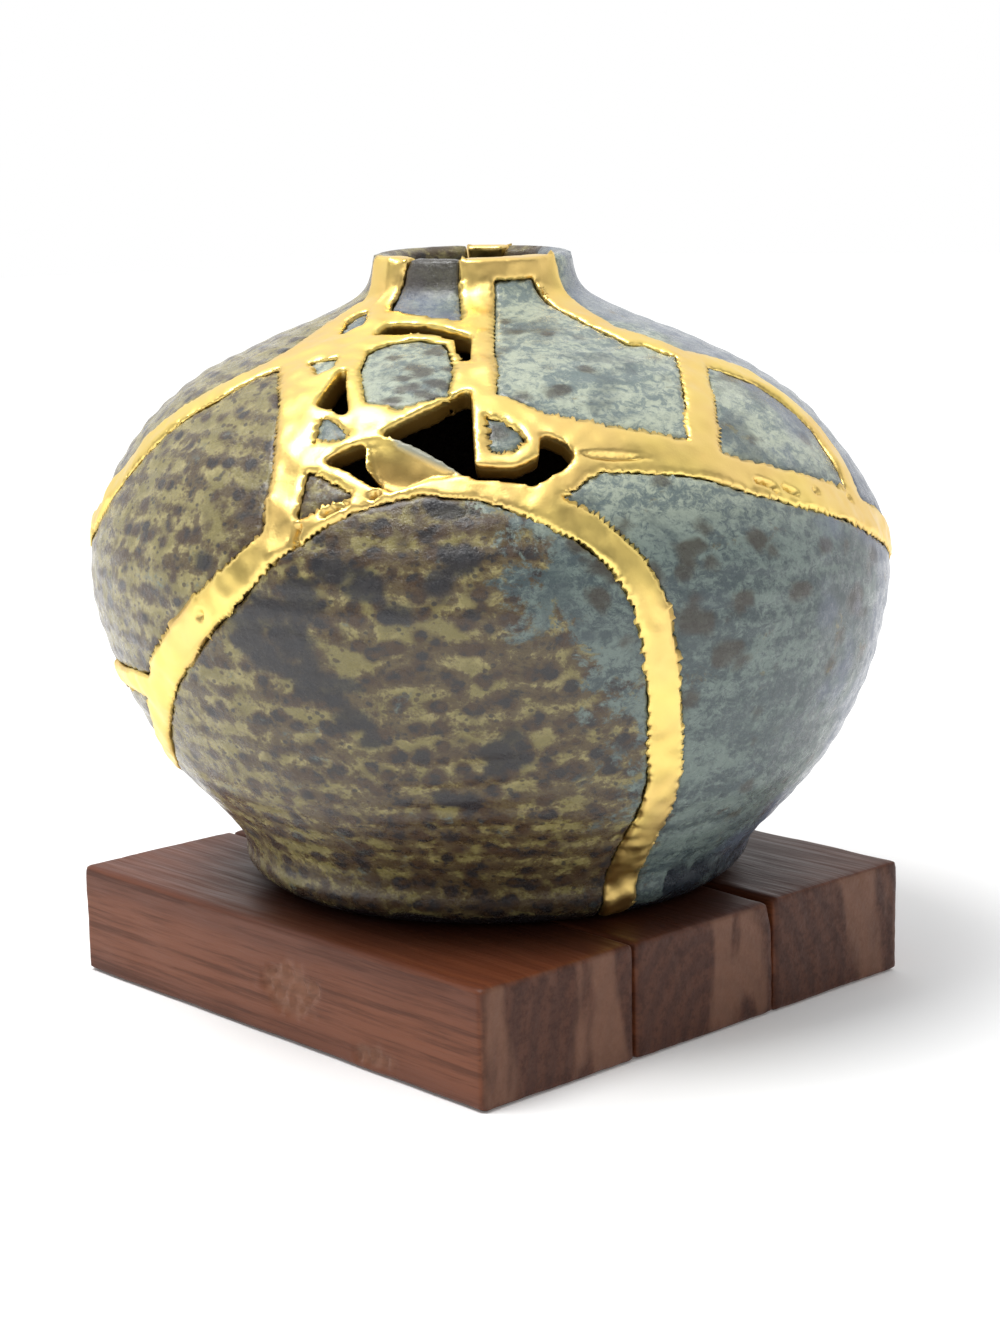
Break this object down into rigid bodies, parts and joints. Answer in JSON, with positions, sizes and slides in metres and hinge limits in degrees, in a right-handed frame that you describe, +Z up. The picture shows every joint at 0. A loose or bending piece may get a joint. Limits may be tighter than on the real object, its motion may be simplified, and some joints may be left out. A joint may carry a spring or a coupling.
{
  "type": "kintsugi vase",
  "caption": "Round-bellied stoneware vase with a short narrow neck, mended along broad gold seams with gaps left open, on a low block of wooden boards.",
  "frame": {"origin": "on the surface the block stands on, under the middle of the vase's belly", "axes": "+Z up out of the mouth, X along the boards, the pictured side between +X and -Y"},
  "size_m": [0.2052, 0.2066, 0.1919],
  "materials": {
    "glaze": "gloss",
    "gold": "satin",
    "wood": "oiled"
  },
  "bodies": {
    "root": {"shard_front_belly": "glaze", "shard_right_body": "glaze", "shard_left_shoulder": "glaze", "shard_right_neck": "glaze", "shard_right_shoulder": "glaze", "shard_back_left_shoulder": "glaze", "shard_back_right_shoulder": "glaze", "shard_left_heel": "glaze", "shard_neck_front": "glaze", "shard_oval": "glaze", "shard_left_sliver": "glaze", "shard_left_chip": "glaze", "shard_upper_triangle": "glaze", "shard_lower_triangle": "glaze", "shard_centre_small": "glaze", "gold_seams": "gold", "base_board_front": "wood", "base_board_middle": "wood", "base_board_back": "wood"}
  },
  "joints": []
}
